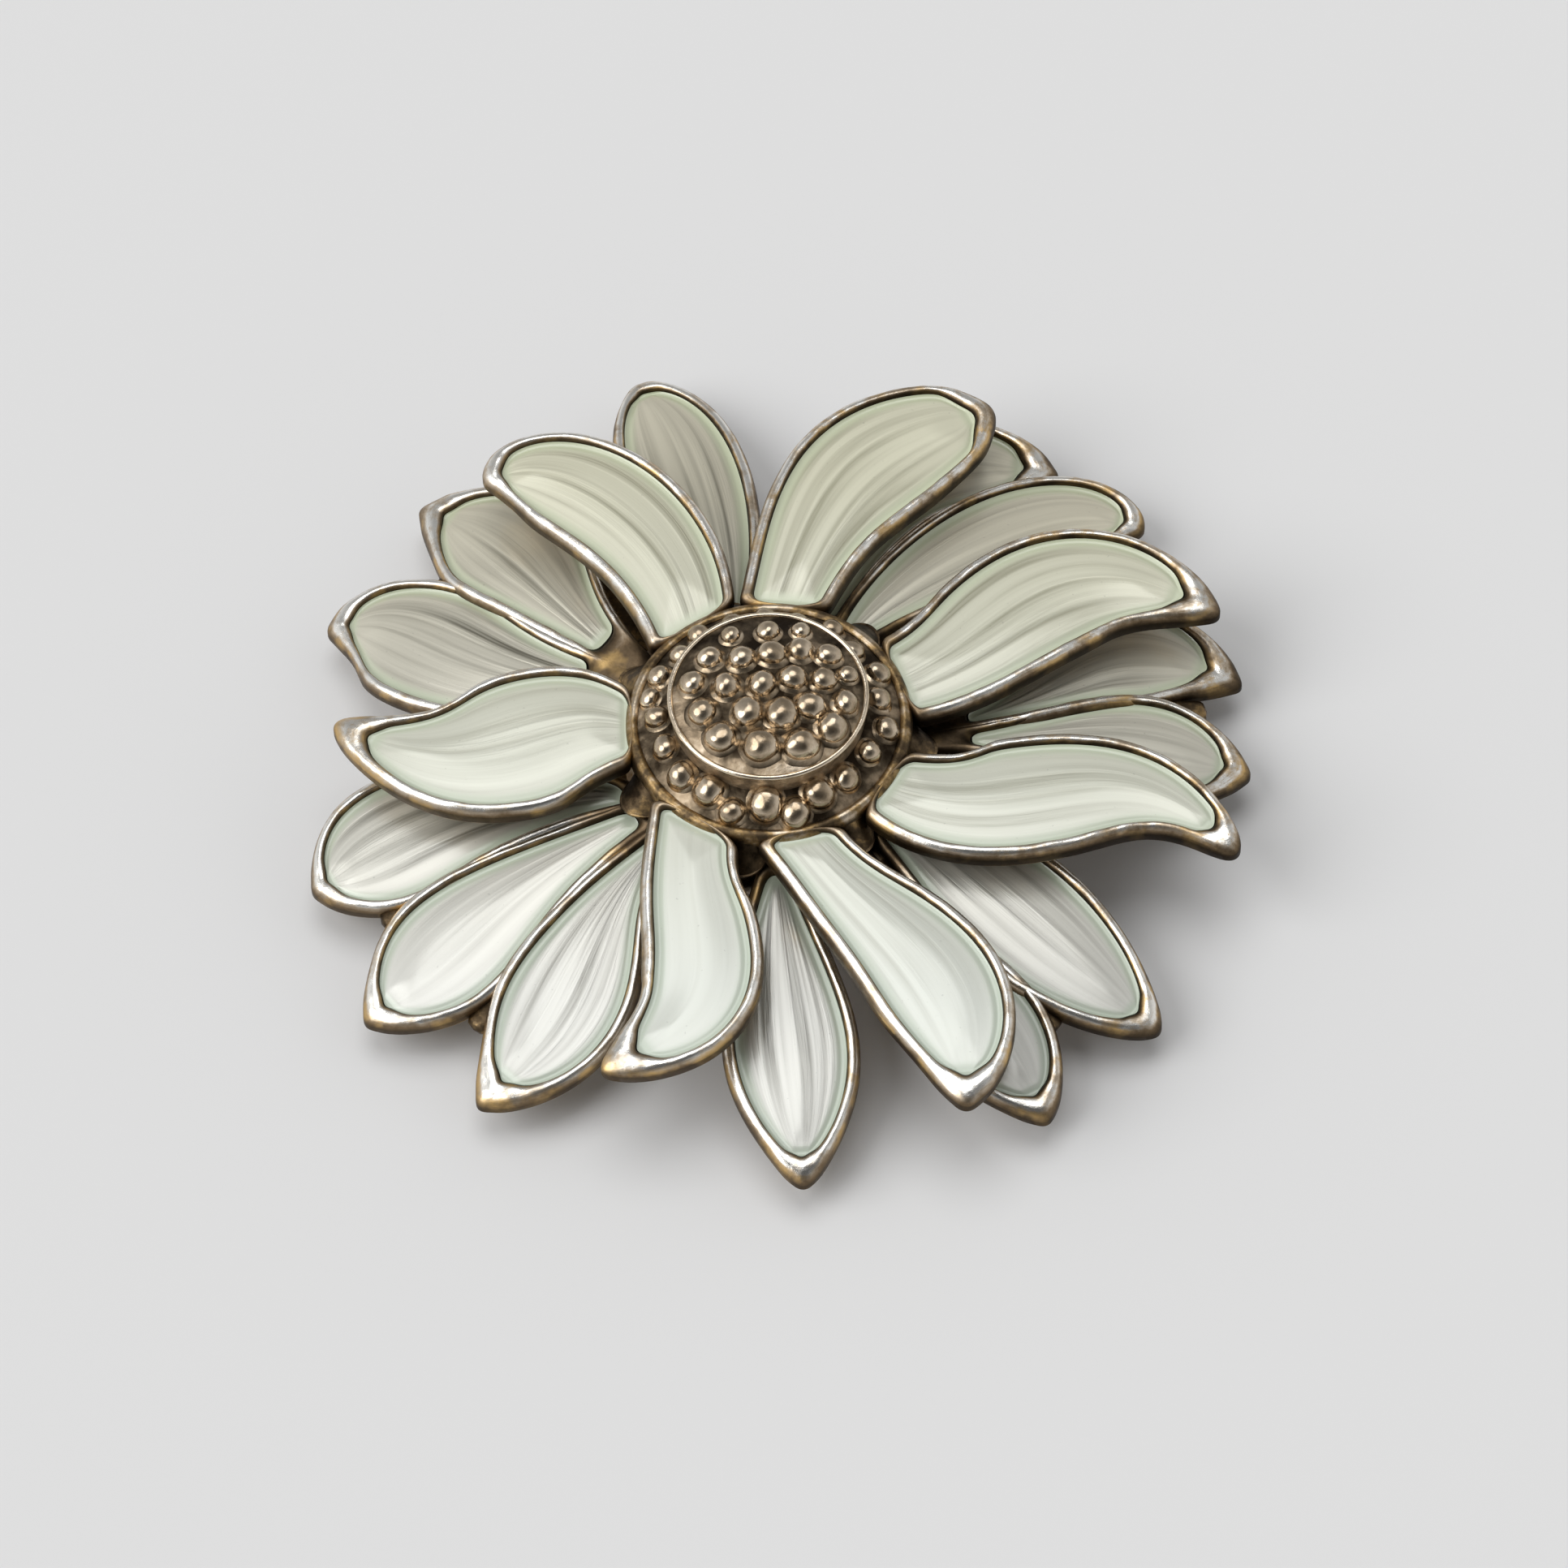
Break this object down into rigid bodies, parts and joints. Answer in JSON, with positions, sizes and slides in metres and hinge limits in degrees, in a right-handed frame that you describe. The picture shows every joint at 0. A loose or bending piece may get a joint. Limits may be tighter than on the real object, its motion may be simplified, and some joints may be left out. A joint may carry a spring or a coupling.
{
  "type": "flower brooch",
  "caption": "Two-layer daisy brooch with enamelled petals, a beaded centre, a hinged back pin and a roller catch.",
  "frame": {"origin": "on the flower's axis, at the level of the table that the brooch lies on, which the lips of the catch touch", "axes": "+Z along the flower's axis, from the back pin towards the beaded centre; the pin lies along X with its point towards -X; the picture looks along +Y and down"},
  "size_m": [0.0442, 0.0444, 0.01],
  "materials": {
    "silver_gilt": "worn silver-gilt, pale on the crests and brown in the crevices",
    "old_gold": "polished old gilding with dark oxide between the seeds",
    "pin_wire": "drawn and polished silver wire",
    "pearl_enamel": "translucent pearl enamel over fluted silver",
    "milk_enamel": "opal milk-white enamel over fluted silver"
  },
  "bodies": {
    "brooch": {"lower_flower": "silver_gilt", "upper_flower": "silver_gilt", "spacer": "silver_gilt", "centre_rivet": "silver_gilt", "back_washer": "silver_gilt", "seed_collar": "old_gold", "seed_cap": "old_gold", "hinge_base": "silver_gilt", "hinge_rivet": "silver_gilt", "catch_body": "silver_gilt", "lower_enamel_1": "pearl_enamel", "lower_enamel_2": "pearl_enamel", "lower_enamel_3": "pearl_enamel", "lower_enamel_4": "pearl_enamel", "lower_enamel_5": "pearl_enamel", "lower_enamel_6": "pearl_enamel", "lower_enamel_7": "pearl_enamel", "lower_enamel_8": "pearl_enamel", "lower_enamel_9": "pearl_enamel", "lower_enamel_10": "pearl_enamel", "lower_enamel_11": "pearl_enamel", "lower_enamel_12": "pearl_enamel", "lower_enamel_13": "pearl_enamel", "upper_enamel_1": "milk_enamel", "upper_enamel_2": "milk_enamel", "upper_enamel_3": "milk_enamel", "upper_enamel_4": "milk_enamel", "upper_enamel_5": "milk_enamel", "upper_enamel_6": "milk_enamel", "upper_enamel_7": "milk_enamel"},
    "pin": {"pin_stem": "pin_wire"},
    "roller": {"catch_roller": "silver_gilt"}
  },
  "joints": [
    {"name": "pin_hinge", "type": "hinge", "parent": "brooch", "child": "pin", "pos_m": [0.0123, 0.0048, 0.00127], "axis": [0, -1, 0], "range_deg": [0, 90]},
    {"name": "catch_turn", "type": "hinge", "parent": "brooch", "child": "roller", "pos_m": [-0.0123, 0.0048, 0.00127], "axis": [-1, 0, 0], "range_deg": [0, 165]}
  ]
}
